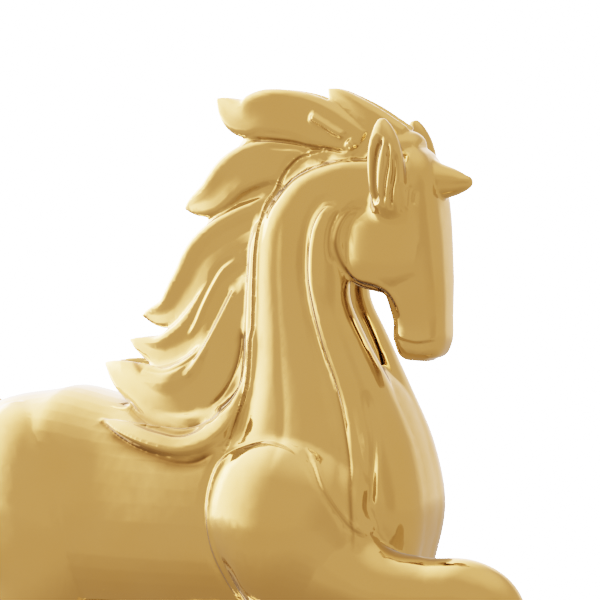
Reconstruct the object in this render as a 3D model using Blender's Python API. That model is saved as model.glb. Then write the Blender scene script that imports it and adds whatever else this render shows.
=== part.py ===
"""Ceramic horse sculpture: a prancing horse and its low plinth, slip-cast in one piece and gold glazed.

Metres, +Z up. The horse faces +X and its left side is +Y. The origin is the centre of the plinth's
underside. The horse is a free form: its pose is drawn on a grid that counts GRID_HEIGHT units from the
plinth's top to the highest lock of the mane, and FIGURE_HEIGHT gives the grid its size. The plinth has
sizes of its own.
"""

import math
from typing import NamedTuple

import bmesh
import bpy
import numpy as np
from mathutils import Vector

FIGURE_HEIGHT = 0.320
PLINTH_HEIGHT = 0.015
PLINTH_MARGIN = 0.013
PLINTH_EDGE_RADIUS = 0.004
HOOF_SUNK = 0.3 * PLINTH_HEIGHT

GRID_HEIGHT = 320.0
UNIT = FIGURE_HEIGHT / GRID_HEIGHT

ROUND = 2.0
FLAT_SIDED = 3.4
FULL = 2.4
LEAF = 1.5
EAR_SCOOP = 0.75
LEFT_EAR_FORWARD = 3.2
LOCK_SCOOP = 0.40
SCOOP_SPREAD = 0.8

STEPS_PER_SPAN = 5
SECTION_SIDES = 28
PLINTH_END_SEGMENTS = 12
EDGE_SEGMENTS = 3

SKIN_VOXEL = 1.7 * UNIT
GLAZE_PASSES = 4
GLAZE_FACTOR = 0.5
HORSE_FACETS = 8800

GOLD = (0.60, 0.37, 0.10, 1.0)
GOLD_ROUGHNESS = 0.12

LEFT = 1
RIGHT = -1
BOTH = (LEFT, RIGHT)


class Form(NamedTuple):
    """A swept form, drawn on the horse's left side or its middle plane.

    Each station is x, y, z of the middle line, then the half depth in the horse's own plane and the
    half width across the horse. A power over 2 squares the section off, and one under 2 gives it edges.
    """

    stations: tuple
    power: float = ROUND
    scoop: float = 0.0
    sides: tuple = (LEFT,)


class Lock(NamedTuple):
    """A lock of hair on the left side: its fullest half depth and half width, and the points of its
    middle line from root to tip."""

    depth: float
    width: float
    line: tuple


BARREL = Form(
    (
        (-150, 0, 160, 6, 6),
        (-144, 0, 162, 23, 20),
        (-126, 0, 162.5, 37, 30),
        (-104, 0, 158.2, 45.8, 34),
        (-72, 0, 155.6, 43.2, 33),
        (-38, 0, 155.5, 41.5, 34.5),
        (-8, 0, 156.5, 41.5, 35),
        (16, 0, 157, 41, 33),
        (34, 0, 157, 34, 29),
        (46, 0, 156, 23, 20),
        (52, 0, 155, 7, 7),
    ),
    FULL,
)
NECK_REAR_LOBE = Form(
    (
        (36, 0, 283, 10, 11),
        (21, 0, 281, 12.5, 13),
        (7, 0, 275, 14, 14.5),
        (-1.5, 0, 262, 15, 15.5),
        (-3, 0, 247, 15.5, 16),
        (-1.5, 0, 230, 18, 17.5),
        (2, 0, 212, 22, 20.5),
        (5, 0, 194, 27, 25),
        (8, 0, 176, 32, 29),
        (8, 0, 156, 38, 31),
    ),
    FLAT_SIDED,
)
NECK_FRONT_LOBES = Form(
    (
        (25, 6, 277, 6, 7),
        (18, 8, 266, 8.5, 8.5),
        (16, 9, 252, 8.5, 8.5),
        (17, 9.5, 238, 8, 8.5),
        (24.1, 10, 222, 8.4, 9.5),
        (32.2, 8.5, 203, 9.9, 12.5),
        (39, 8, 184, 11.5, 16),
        (44, 8, 164, 10.6, 17),
        (42.8, 8, 147, 9.3, 14),
    ),
    sides=BOTH,
)
FACE = Form(
    (
        (40, 0, 298, 5, 5),
        (43, 0, 289, 12.5, 11.5),
        (44.9, 0, 276, 13.8, 13.5),
        (46.3, 0, 260, 13.9, 13),
        (48.8, 0, 246, 12.2, 11.5),
        (50.5, 0, 234, 10.4, 10),
        (50.4, 0, 226, 10.3, 9.5),
        (49.6, 0, 220.5, 8, 8),
        (49.5, 0, 218, 4.5, 4.5),
    ),
    FLAT_SIDED,
)
CHEEK = Form(
    (
        (20, 0, 261, 6, 5),
        (22, 0, 261, 12, 10),
        (26.5, 0, 261, 15, 13),
        (34, 0, 260, 16.5, 14),
        (43, 0, 259, 16.5, 14),
        (53, 0, 258, 12, 13),
    ),
    FLAT_SIDED,
)
FORELOCK = Form(
    (
        (38, 0, 289, 8, 8),
        (47, 0, 287, 8.5, 8),
        (55, 0, 284.7, 7.2, 6.8),
        (62, 0, 284.1, 5.4, 5),
        (67, 0, 284.2, 3.2, 3.2),
        (69.6, 0, 285, 1.5, 1.5),
    )
)
RIGHT_EAR = Form(
    (
        (40.6, 11.5, 270, 4.8, 4.2),
        (40.6, 13.2, 279, 5.7, 5),
        (40, 14.4, 288, 5.9, 5),
        (39.6, 14.6, 297, 5, 4.2),
        (39.4, 14.2, 303.5, 3.4, 3),
        (39.4, 13.8, 307.5, 1.4, 1.3),
    ),
    scoop=EAR_SCOOP,
    sides=(RIGHT,),
)
LEFT_EAR = RIGHT_EAR._replace(
    stations=tuple((x + LEFT_EAR_FORWARD, *rest) for x, *rest in RIGHT_EAR.stations), sides=(LEFT,)
)
SHOULDERS = Form(
    (
        (-24, 20, 155, 6, 5),
        (-19, 22, 156, 20, 13),
        (-7, 23.5, 157, 31, 17.5),
        (8, 23.5, 155, 33.5, 19),
        (22, 22, 149, 29, 17),
        (35, 21, 143, 18, 14),
    ),
    sides=BOTH,
)
MANE_CORE = Form(
    (
        (32, 0, 296, 8, 6),
        (10, 0, 298, 10, 6.5),
        (-9, 0, 293, 15, 6.5),
        (-21, 0, 272, 15, 6.5),
        (-28, 0, 246, 17, 7),
        (-32, 0, 222, 21, 7.5),
        (-30, 0, 200, 22, 9),
    ),
    FLAT_SIDED,
)

# A leg's last station stands on the plinth's top, and the sole then runs on into the plinth.
STANDING_FORELEG = Form(
    (
        (10, 20, 150, 24, 15),
        (14, 20, 128, 17, 12.5),
        (17, 19.5, 108, 11.5, 10),
        (18.5, 19, 88, 8.5, 8.2),
        (19, 19, 74, 9.4, 8.8),
        (17.5, 19, 62, 7, 6.8),
        (17, 19, 42, 6.4, 6.4),
        (18, 19, 28, 7.8, 7.4),
        (22, 19, 17, 7.2, 7.2),
        (24, 19, 13, 8, 7.8),
        (25, 19, 11, 9.8, 9.4),
        (27.5, 19, 0, 12.8, 12),
    )
)
RAISED_FORELEG = Form(
    (
        (8, 22, 150, 26, 15),
        (26, 24, 143, 21, 14),
        (43, 25.5, 136.5, 15.5, 12.5),
        (62, 26, 135.5, 13.5, 11.4),
        (79, 26.5, 137, 12.4, 10.6),
        (89, 26.5, 131, 11.4, 10),
        (90.3, 26, 116, 9, 8.6),
        (85, 25.5, 100, 7.2, 7),
        (78.5, 25, 87, 8, 7.6),
        (70, 24.5, 80, 7.4, 7.4),
        (62, 24, 77.5, 9.8, 9.6),
        (53, 24, 75, 12, 11.4),
    ),
    sides=(RIGHT,),
)
HIND_LEG = Form(
    (
        (-117, 11, 195, 7, 7),
        (-115, 15, 185, 22, 14),
        (-110, 18, 168, 31.5, 18),
        (-104, 20, 147, 31, 17.5),
        (-100, 21, 126, 23, 14.5),
        (-109, 21, 106, 14, 11),
        (-120, 20.5, 90, 10.5, 9),
        (-125, 20, 78, 9.8, 8.6),
        (-122, 20, 64, 7.4, 7.4),
        (-119, 20, 44, 6.8, 6.8),
        (-117, 20, 29, 8.2, 7.6),
        (-112, 20, 17, 7.4, 7.4),
        (-109.5, 20, 13, 8, 7.8),
        (-108, 20, 11, 9.8, 9.4),
        (-105.5, 20, 0, 12.8, 12),
    )
)
HIND_STEPS = {LEFT: 14, RIGHT: -16}
HIP_HEIGHT = 150
HOCK_HEIGHT = 60

MANE_LOCKS = (
    Lock(6.5, 5.0, ((42, 3, 299), (31, 3, 306), (21, 2, 312), (12, 1, 319.5))),
    Lock(9.5, 6.5, ((26, 4, 296), (8, 4, 306.9), (-10, 4, 310.5), (-23, 3, 308.8), (-35, 1, 316.2))),
    Lock(9.5, 6.5, ((10, 5, 286), (-8, 5, 292), (-23, 5, 287.6), (-35.2, 3, 278), (-49, 1, 273.8))),
    Lock(
        9.5,
        6.5,
        ((-4, 5, 272), (-21.5, 5, 266), (-35.4, 5, 256.7), (-44, 4, 244.6), (-54, 3, 234), (-68, 1, 232)),
    ),
    Lock(
        9.0,
        6.5,
        ((-8, 6, 258), (-25, 6, 246), (-36, 6, 231), (-47, 5, 222.3), (-59, 3, 218.6), (-73.5, 1, 222.5)),
    ),
    Lock(
        12.5,
        7.0,
        ((-10, 7, 244), (-20, 10, 224), (-31, 13, 210), (-48, 14, 202), (-66, 9, 206), (-84.5, 1, 213.3)),
    ),
    Lock(
        9.5,
        7.5,
        ((-10, 13, 207), (-16, 18, 196), (-26, 22, 187), (-38, 24, 183.5), (-56, 24, 186.5), (-75, 21, 192)),
    ),
)
TAIL_LOCKS = (
    Lock(
        10.0,
        8.0,
        ((-134, 4, 182), (-150, 4, 192), (-168, 5, 187), (-182, 4, 168), (-191, 4, 145), (-218, 1, 125)),
    ),
    Lock(
        11.0,
        8.0,
        ((-136, 4, 176), (-151, 5, 182), (-165, 5, 169), (-174, 5, 147), (-182, 5, 123), (-208, 1, 100)),
    ),
    Lock(
        10.0,
        8.0,
        ((-138, 4, 168), (-150, 4, 168), (-158, 5, 150), (-164, 5, 128), (-171, 4, 106), (-194, 1, 79)),
    ),
)
TIP_HALF_SIZE = 0.8
TAPER_START = 4.6
TAPER_FULLNESS = 0.8


def smooth_rows(points, steps=STEPS_PER_SPAN):
    """Rows read at even steps from a Catmull-Rom curve through the points, whatever their length."""
    knots = np.array(points, float)
    knots = np.vstack([2 * knots[0] - knots[1], knots, 2 * knots[-1] - knots[-2]])
    spans = len(points) - 1
    rows = []
    for u in np.linspace(0, spans, steps * spans + 1):
        first = min(int(u), spans - 1)
        t = u - first
        a, b, c, d = knots[first : first + 4]
        bend = (2 * a - 5 * b + 4 * c - d) * t + (3 * b - a - 3 * c + d) * t**2
        rows.append(b + 0.5 * t * (c - a + bend))
    return np.array(rows)


def form_rows(form):
    """The form's stations made dense, with no half size under the smallest one given."""
    rows = smooth_rows(form.stations)
    smallest = min(min(station[3:]) for station in form.stations)
    rows[:, 3:] = np.maximum(rows[:, 3:], smallest)
    return rows


def lock_rows(lock):
    """The lock's rows: full for most of its length, then drawn out to a tip."""
    line = smooth_rows(lock.line)
    share = np.linspace(0, 1, len(line))
    taper = (1 - share**TAPER_START) ** TAPER_FULLNESS
    depth = np.maximum(lock.depth * taper, TIP_HALF_SIZE)
    width = np.maximum(lock.width * taper, TIP_HALF_SIZE)
    return np.column_stack([line, depth, width])


def section(power, scoop):
    """The closed outline |a|^power + |b|^power = 1, its outer face pressed in by the scoop's share."""
    for k in range(SECTION_SIDES):
        turn = 2 * math.pi * k / SECTION_SIDES
        a = math.copysign(abs(math.cos(turn)) ** (2 / power), math.cos(turn))
        b = math.copysign(abs(math.sin(turn)) ** (2 / power), math.sin(turn))
        if b > 0:
            b *= 1 - scoop * max(0.0, 1 - (a / SCOOP_SPREAD) ** 2)
        yield a, b


def loft(bm, rows, power=ROUND, scoop=0.0, side=LEFT):
    """Adds one closed form: rings square to its middle line, bridged and capped, on one side."""
    tangents = np.gradient(rows[:, :3], axis=0)
    rings = []
    for row, tangent in zip(rows, tangents):
        middle = Vector(row[:3])
        depth, width = row[3:]
        along = Vector(tangent).normalized()
        across = (Vector((0, 1, 0)) - along * along.y).normalized()
        deep = along.cross(across)
        ring = []
        for a, b in section(power, scoop):
            point = (middle + deep * (a * depth) + across * (b * width)) * UNIT
            ring.append(bm.verts.new((point.x, side * point.y, point.z)))
        rings.append(ring)
    for lower, upper in zip(rings, rings[1:]):
        for k in range(SECTION_SIDES):
            after = (k + 1) % SECTION_SIDES
            bm.faces.new((lower[k], lower[after], upper[after], upper[k]))
    bm.faces.new(reversed(rings[0]))
    bm.faces.new(rings[-1])


def standing(rows):
    """A standing leg's rows, run on from the plinth's top into the plinth."""
    sole = rows[-1].copy()
    sole[2] -= HOOF_SUNK / UNIT
    return np.vstack([rows, sole])


def hind_leg_rows(side):
    """A hind leg's rows, stepped forward or back: fully below the hock, not at all at the hip."""
    rows = form_rows(HIND_LEG)
    share = np.clip((HIP_HEIGHT - rows[:, 2]) / (HIP_HEIGHT - HOCK_HEIGHT), 0, 1)
    rows[:, 0] += HIND_STEPS[side] * share
    return standing(rows)


def horse_mesh():
    """All of the horse's forms, overlapping, in one mesh that is then made one skin."""
    bm = bmesh.new()
    trunk = (BARREL, SHOULDERS, NECK_REAR_LOBE, NECK_FRONT_LOBES, RAISED_FORELEG)
    head = (FACE, CHEEK, FORELOCK, RIGHT_EAR, LEFT_EAR, MANE_CORE)
    for form in trunk + head:
        for side in form.sides:
            loft(bm, form_rows(form), form.power, form.scoop, side)
    loft(bm, standing(form_rows(STANDING_FORELEG)))
    for side in BOTH:
        loft(bm, hind_leg_rows(side), side=side)
        for lock in MANE_LOCKS + TAIL_LOCKS:
            loft(bm, lock_rows(lock), LEAF, LOCK_SCOOP, side)
    bmesh.ops.recalc_face_normals(bm, faces=bm.faces)
    return bm


def footprint():
    """The plinth's lowest and highest x and its half width: the standing hooves and the margin."""
    soles = [standing(form_rows(STANDING_FORELEG))[-1]] + [hind_leg_rows(side)[-1] for side in BOTH]
    low = min(x - depth for x, _, _, depth, _ in soles) * UNIT - PLINTH_MARGIN
    high = max(x + depth for x, _, _, depth, _ in soles) * UNIT + PLINTH_MARGIN
    half_width = max(y + width for _, y, _, _, width in soles) * UNIT + PLINTH_MARGIN
    return low, high, half_width


def plinth_mesh(half_length, half_width):
    """The low plinth: a slab with round ends and an eased upper edge, its underside at z = 0."""
    bm = bmesh.new()
    outline = []
    for end in (1, -1):
        for k in range(PLINTH_END_SEGMENTS + 1):
            turn = math.pi * (k / PLINTH_END_SEGMENTS - 0.5)
            x = half_length - half_width + half_width * math.cos(turn)
            outline.append(bm.verts.new((end * x, end * half_width * math.sin(turn), 0)))
    face = bm.faces.new(outline)
    grown = bmesh.ops.extrude_face_region(bm, geom=[face])
    risen = [v for v in grown["geom"] if isinstance(v, bmesh.types.BMVert)]
    bmesh.ops.translate(bm, verts=risen, vec=(0, 0, PLINTH_HEIGHT))
    bmesh.ops.recalc_face_normals(bm, faces=bm.faces)
    top = [e for e in bm.edges if all(v.co.z > PLINTH_HEIGHT / 2 for v in e.verts)]
    bmesh.ops.bevel(
        bm, geom=top, offset=PLINTH_EDGE_RADIUS, segments=EDGE_SEGMENTS, profile=0.5, affect="EDGES"
    )
    return bm


def gold_glaze():
    """The one bright gold glaze over the whole work."""
    material = bpy.data.materials.new("gold_glaze")
    material.use_nodes = True
    shader = material.node_tree.nodes["Principled BSDF"]
    shader.inputs["Base Color"].default_value = GOLD
    shader.inputs["Metallic"].default_value = 1.0
    shader.inputs["Roughness"].default_value = GOLD_ROUGHNESS
    return material


def new_object(name, bm):
    """An object in the scene that holds the mesh."""
    mesh = bpy.data.meshes.new(name)
    bm.to_mesh(mesh)
    bm.free()
    made = bpy.data.objects.new(name, mesh)
    bpy.context.scene.collection.objects.link(made)
    return made


def make_one_skin(horse):
    """Joins the overlapping forms into one smooth glazed skin with few facets."""
    remesh = horse.modifiers.new("one_skin", "REMESH")
    remesh.mode = "VOXEL"
    remesh.voxel_size = SKIN_VOXEL
    glaze = horse.modifiers.new("glaze", "SMOOTH")
    glaze.factor = GLAZE_FACTOR
    glaze.iterations = GLAZE_PASSES
    bpy.context.view_layer.update()
    skin = horse.evaluated_get(bpy.context.evaluated_depsgraph_get()).data
    skin.calc_loop_triangles()
    facets = horse.modifiers.new("facets", "DECIMATE")
    facets.ratio = min(1.0, HORSE_FACETS / len(skin.loop_triangles))
    facets.use_collapse_triangulate = True


def build():
    """Builds the one cast piece: the horse's skin joined to its plinth."""
    for old in list(bpy.data.objects):
        bpy.data.objects.remove(old)
    low, high, half_width = footprint()
    horse = new_object("horse_sculpture", horse_mesh())
    horse.location = (-(low + high) / 2, 0, PLINTH_HEIGHT)
    make_one_skin(horse)
    plinth = new_object("plinth_form", plinth_mesh((high - low) / 2, half_width))
    plinth.hide_render = True
    plinth.display_type = "WIRE"
    cast_in_one = horse.modifiers.new("cast_in_one", "BOOLEAN")
    cast_in_one.operation = "UNION"
    cast_in_one.solver = "EXACT"
    cast_in_one.object = plinth
    horse.data.materials.append(gold_glaze())
    horse.data.shade_smooth()


if __name__ == "__main__":
    build()
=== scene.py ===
"""Gold-glazed ceramic horse: its glazed skin with the fine carving, the finish, and a plain white studio.

The horse is drawn on the same grid as its solid: GRID_HEIGHT units from the plinth's top to the highest
lock of the mane. Each class holds one part of the figure as rows of sizes on that grid. The sculpture
joins them into one skin, cuts the fine carving into it and glazes it. The horse faces +X and its left
side is +Y. The sizes of forms, locks, legs and strokes are on the grid, and all others are in metres
unless their class says so.
"""

import logging
import math
from dataclasses import dataclass, field
from enum import Enum
from typing import Iterator

import bpy
import numpy as np
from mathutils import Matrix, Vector
from mathutils.kdtree import KDTree


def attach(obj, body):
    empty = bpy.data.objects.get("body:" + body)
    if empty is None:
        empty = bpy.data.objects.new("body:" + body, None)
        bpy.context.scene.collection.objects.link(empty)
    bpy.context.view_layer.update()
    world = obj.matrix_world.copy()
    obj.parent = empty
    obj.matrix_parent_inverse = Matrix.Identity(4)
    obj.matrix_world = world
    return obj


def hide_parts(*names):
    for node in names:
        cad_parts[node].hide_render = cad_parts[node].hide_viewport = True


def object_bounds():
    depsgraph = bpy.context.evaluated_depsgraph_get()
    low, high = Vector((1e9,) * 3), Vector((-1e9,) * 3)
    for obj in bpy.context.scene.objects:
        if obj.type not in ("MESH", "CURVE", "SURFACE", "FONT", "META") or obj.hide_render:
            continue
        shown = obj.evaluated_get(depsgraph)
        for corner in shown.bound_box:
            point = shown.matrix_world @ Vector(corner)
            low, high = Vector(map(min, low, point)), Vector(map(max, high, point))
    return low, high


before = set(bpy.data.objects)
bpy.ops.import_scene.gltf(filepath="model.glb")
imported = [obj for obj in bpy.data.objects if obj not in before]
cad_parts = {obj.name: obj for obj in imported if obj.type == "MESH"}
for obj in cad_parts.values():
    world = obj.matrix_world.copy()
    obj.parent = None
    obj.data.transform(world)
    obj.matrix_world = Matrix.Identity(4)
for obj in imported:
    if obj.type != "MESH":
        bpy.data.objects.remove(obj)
cad_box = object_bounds()

FIGURE_HEIGHT = 0.320
PLINTH_HEIGHT = 0.015
GRID_HEIGHT = 320.0
UNIT = FIGURE_HEIGHT / GRID_HEIGHT

# Powers of a section: 2 is a round one, more is squarer, and less has edges.
ROUND = 2.0
FULL = 2.4
FLAT_SIDED = 3.4
LEAF = 1.5

# The share of the half depth over which a scoop presses the outer face in.
SCOOP_SPREAD = 0.8

# How high a step rises before its line and how deep it falls behind, as shares of its stroke's depth.
STEP_UP = 0.75
STEP_DOWN = 0.55

# How a stroke is read and cut: the rows between two points of its line, the sideways share of a normal
# from which the skin is cut, the range over which that eases in, the reach in half widths and the sharpness
# of the bell across it, the crease's power, the reach of a stroke's painted shade in its widths, and the
# share of the line that each end fades over.
TRACE_STEPS = 5
LEAST_FACING = 0.05
FACING_RANGE = 0.4
BELL_REACH = 2.5
BELL_SHARPNESS = 1.5
CREASE_POWER = 1.5
PAINTED_SHADE_REACH = 2.2
END_FADE = 0.12

# The share by which one pass of easing moves a value towards its neighbours' mean.
EASE = 0.5

Colour = tuple[float, float, float, float]
Span = tuple[float, float]
GridPoint = tuple[float, float, float]
Station = tuple[float, float, float, float, float]
Trace = tuple[tuple[float, float], ...]

log = logging.getLogger("horse")


class Side(Enum):
    """A side of the horse, as the sign of its Y."""

    LEFT = 1
    RIGHT = -1


BOTH = (Side.LEFT, Side.RIGHT)


class Cut(Enum):
    """How a stroke of the carving tool shapes the skin across its line."""

    GROOVE = "groove"
    CREASE = "crease"
    RIDGE = "ridge"
    STEP = "step"
    SLOPE = "slope"


@dataclass(frozen=True)
class Form:
    """A swept form on the grid: each station is x, y, z, half depth along the horse and half width.

    A power over 2 squares its section off and one under 2 gives it edges. The scoop is the share of the
    half width by which the outer face is pressed in.
    """

    stations: tuple[Station, ...]
    power: float = ROUND
    scoop: float = 0.0
    sides: tuple[Side, ...] = (Side.LEFT,)
    steps: int = 9

    def rows(self) -> np.ndarray:
        """Reads the stations densely.

        Returns:
            One row for each ring, with no half size under the smallest one given.
        """
        rows = smooth_rows(self.stations, self.steps)
        smallest = min(min(station[3:]) for station in self.stations)
        rows[:, 3:] = np.maximum(rows[:, 3:], smallest)
        return rows


@dataclass(frozen=True)
class Lock:
    """A lock of hair: its fullest half depth and half width and its middle line, all on the grid.

    Root is the share of its full size that it starts with, and root reach how far along it is full. The
    scoop and the power are those of a form.
    """

    depth: float
    width: float
    line: tuple[GridPoint, ...]
    scoop: float = 0.4
    steps: int = 9
    tip: float = 0.5
    taper_start: float = 4.6
    taper_fullness: float = 0.8
    root: float = 1.0
    root_reach: float = 0.4
    power: float = LEAF
    sides: tuple[Side, ...] = BOTH

    def rows(self) -> np.ndarray:
        """Reads the middle line densely and draws the lock out to its tip.

        Returns:
            One row for each ring: x, y, z, half depth and half width.
        """
        line = smooth_rows(self.line, self.steps)
        share = np.linspace(0, 1, len(line))
        taper = (1 - share**self.taper_start) ** self.taper_fullness
        taper *= self.root + (1 - self.root) * np.clip(share / self.root_reach, 0, 1)
        depth = np.maximum(self.depth * taper, self.tip)
        width = np.maximum(self.width * taper, self.tip)
        return np.column_stack([line, depth, width])


Shape = Form | Lock


@dataclass(frozen=True)
class Stroke:
    """One stroke of the carving tool: a line drawn on the grid's XZ plane and cut into the skin's side.

    Width is the half width of the cut. Fill is how far from the line the skin is first smoothed over.
    Outer is the least distance from the middle plane at which the skin is cut, so that a stroke doesn't
    reach what lies behind the surface it is drawn on. A step raises the skin in front of a line that is
    drawn downward, and a slope lowers it there, most at the line. Climb is the share of the width over
    which a step rises. The painted shade is how dark shade is painted into the glaze along the line,
    over the painted shade width, for the shade that falls in creases, hollows and under edges.
    """

    trace: Trace
    width: float
    depth: float
    cut: Cut = Cut.CREASE
    fill: float = 0.0
    outer: float = 3.0
    climb: float = 0.4
    # Painted shade: how dark shade is painted into the glaze along the line, over the next width.
    pool: float = 0.0
    painted_shade_width: float = 0.8
    sides: tuple[Side, ...] = BOTH


def smooth_rows(points: tuple[tuple[float, ...], ...], steps: int) -> np.ndarray:
    """Reads rows from a Catmull-Rom curve through the points.

    Args:
        points: The points, all with as many numbers.
        steps: How many rows each span between two points gives.

    Returns:
        The rows, the first and the last point included.
    """
    knots = np.array(points, float)
    knots = np.vstack([2 * knots[0] - knots[1], knots, 2 * knots[-1] - knots[-2]])
    spans = len(points) - 1
    rows = []
    for u in np.linspace(0, spans, steps * spans + 1):
        first = min(int(u), spans - 1)
        t = u - first
        a, b, c, d = knots[first : first + 4]
        bend = (2 * a - 5 * b + 4 * c - d) * t + (3 * b - a - 3 * c + d) * t**2
        rows.append(b + 0.5 * t * (c - a + bend))
    return np.array(rows)


def read_skin(mesh: bpy.types.Mesh) -> tuple[np.ndarray, np.ndarray]:
    """Reads a mesh.

    Args:
        mesh: The mesh.

    Returns:
        Its points in metres and their normals, one row for each.
    """
    flat = np.empty(len(mesh.vertices) * 3, np.float32)
    mesh.vertices.foreach_get("co", flat)
    points = flat.reshape(-1, 3).astype(float)
    mesh.vertex_normals.foreach_get("vector", flat)
    return points, flat.reshape(-1, 3).astype(float)


@dataclass(frozen=True)
class Placing:
    """Where the grid lies in the row frame: the x of its origin and the height of the plinth's top."""

    middle: float
    base: float = PLINTH_HEIGHT

    def metres(self, points: np.ndarray) -> np.ndarray:
        """Turns points on the grid into metres."""
        return points * UNIT + np.array([self.middle, 0.0, self.base])

    def grid(self, points: np.ndarray) -> np.ndarray:
        """Turns points in metres into points on the grid."""
        return (points - np.array([self.middle, 0.0, self.base])) / UNIT


class Clay:
    """The raw mesh that the figure's forms are put into, before they become one skin."""

    section_sides: int = 48

    def __init__(self) -> None:
        """Starts with no forms."""
        self.points: list[np.ndarray] = []
        self.faces: list[list[int]] = []
        self.count = 0

    def add_rings(self, rings: np.ndarray) -> None:
        """Adds one closed form.

        Args:
            rings: Points in metres, as an array of rings by sides by 3.
        """
        total, sides = rings.shape[:2]
        first = self.count
        for ring in range(total - 1):
            lower = first + ring * sides
            upper = lower + sides
            for k in range(sides):
                after = (k + 1) % sides
                self.faces.append([lower + k, lower + after, upper + after, upper + k])
        self.faces.append(list(range(first + sides - 1, first - 1, -1)))
        last = first + (total - 1) * sides
        self.faces.append(list(range(last, last + sides)))
        self.points.append(rings.reshape(-1, 3))
        self.count += total * sides

    def section(self, shape: Shape) -> np.ndarray:
        """Works out a section, with its outer face hollowed.

        Args:
            shape: The form or lock that the section is for.

        Returns:
            Pairs of shares of the half depth and the half width.
        """
        turn = 2 * np.pi * np.arange(self.section_sides) / self.section_sides
        a = np.sign(np.cos(turn)) * np.abs(np.cos(turn)) ** (2 / shape.power)
        b = np.sign(np.sin(turn)) * np.abs(np.sin(turn)) ** (2 / shape.power)
        hollow = np.clip(1 - (np.abs(a) / SCOOP_SPREAD) ** 2, 0, 1)
        b = np.where(b > 0, b * (1 - shape.scoop * hollow), b)
        return np.column_stack([a, b])

    def loft(self, shape: Shape, rows: np.ndarray, side: Side, placed: Placing) -> None:
        """Sweeps a section along its rows.

        Args:
            shape: The form or lock.
            rows: Its rows on the grid.
            side: The side of the horse it lies on.
            placed: Where the grid is.
        """
        tangents = np.gradient(rows[:, :3], axis=0)
        section = self.section(shape)
        rings = []
        for row, tangent in zip(rows, tangents):
            along = Vector(tangent).normalized()
            across = (Vector((0, 1, 0)) - along * along.y).normalized()
            deep = along.cross(across)
            ring = row[:3] + np.outer(section[:, 0] * row[3], deep) + np.outer(section[:, 1] * row[4], across)
            rings.append(ring * (1, side.value, 1))
        rings = np.array(rings)
        if side is Side.RIGHT:
            rings = rings[:, ::-1]
        self.add_rings(placed.metres(rings))

    def mesh(self, name: str) -> bpy.types.Mesh:
        """Makes the Blender mesh.

        Args:
            name: The mesh's name.

        Returns:
            The mesh with every form in it, still apart.
        """
        made = bpy.data.meshes.new(name)
        made.from_pydata(np.vstack(self.points).tolist(), [], self.faces)
        made.update()
        return made


class Part:
    """A part of the figure: its shapes, and the strokes that are cut into them."""

    def shapes(self) -> tuple[Shape, ...]:
        """Gives the shapes whose rows are used as they are."""
        return ()

    def forms(self) -> Iterator[tuple[Shape, np.ndarray, tuple[Side, ...]]]:
        """Gives each shape with its rows and sides."""
        for shape in self.shapes():
            yield shape, shape.rows(), shape.sides

    def strokes(self) -> Iterator[Stroke]:
        """Gives no strokes, unless a part has its own."""
        yield from ()


@dataclass(frozen=True)
class Trunk(Part):
    """The horse's barrel and its two shoulders."""

    barrel: Form = Form(
        (
            (-150, 0, 160, 6, 6),
            (-144, 0, 162, 23, 20),
            (-126, 0, 162.5, 37, 30),
            (-104, 0, 158.2, 45.8, 34),
            (-72, 0, 155.6, 43.2, 33),
            (-38, 0, 155.5, 41.5, 34.5),
            (-8, 0, 156.5, 41.5, 35),
            (16, 0, 157, 41, 33),
            (34, 0, 157, 34, 29),
            (46, 0, 156, 23, 20),
            (52, 0, 155, 7, 7),
        ),
        FULL,
    )
    shoulders: Form = Form(
        (
            (-24, 20, 155, 6, 5),
            (-19, 22, 156, 20, 13),
            (-7, 23.5, 157, 31, 17.5),
            (8, 23.5, 155, 33.5, 19),
            (22, 22, 149, 29, 17),
            (35, 21, 143, 18, 14),
        ),
        sides=BOTH,
    )
    shoulder_top: Trace = (
        (-20.1, 179.4), (-15.9, 184.1), (-8.4, 187.1), (-1.0, 188.6), (6.0, 187.8), (13.3, 184.8),
        (19.4, 179.2), (23.5, 172.0),
    )
    withers: Trace = ((-15.5, 199), (-17.5, 190), (-19, 182), (-18, 177))
    shoulder_front: Trace = (
        (15.0, 186.5), (20.6, 181.5), (25.2, 173.6), (29.8, 166.8), (35.5, 159.5), (42.0, 154.5),
    )
    shoulder_back: Trace = (
        (-15.9, 183.0), (-19.1, 179.6), (-21.2, 172.7), (-22.1, 165.2), (-21.7, 155.8), (-19.6, 146.5),
        (-15.0, 135.5), (-11.7, 128.2),
    )

    def shapes(self) -> tuple[Shape, ...]:
        """Gives the barrel and the shoulders."""
        return self.barrel, self.shoulders

    def strokes(self) -> Iterator[Stroke]:
        """Gives the soft edge over the shoulder and the sharper ones before and behind it."""
        yield Stroke(self.shoulder_top, 1.0, 0.3, Cut.CREASE, fill=12.0, outer=10)
        yield Stroke(self.withers, 1.0, 0.1, fill=14.0, outer=8)
        # The strokes before and behind the shoulder also paint shade along their lines.
        yield Stroke(self.shoulder_front, 1.8, 1.3, Cut.STEP, fill=5.0, outer=10, pool=0.25)
        yield Stroke(self.shoulder_back, 2.4, 1.4, Cut.STEP, fill=4.0, outer=15, pool=0.2)


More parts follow.
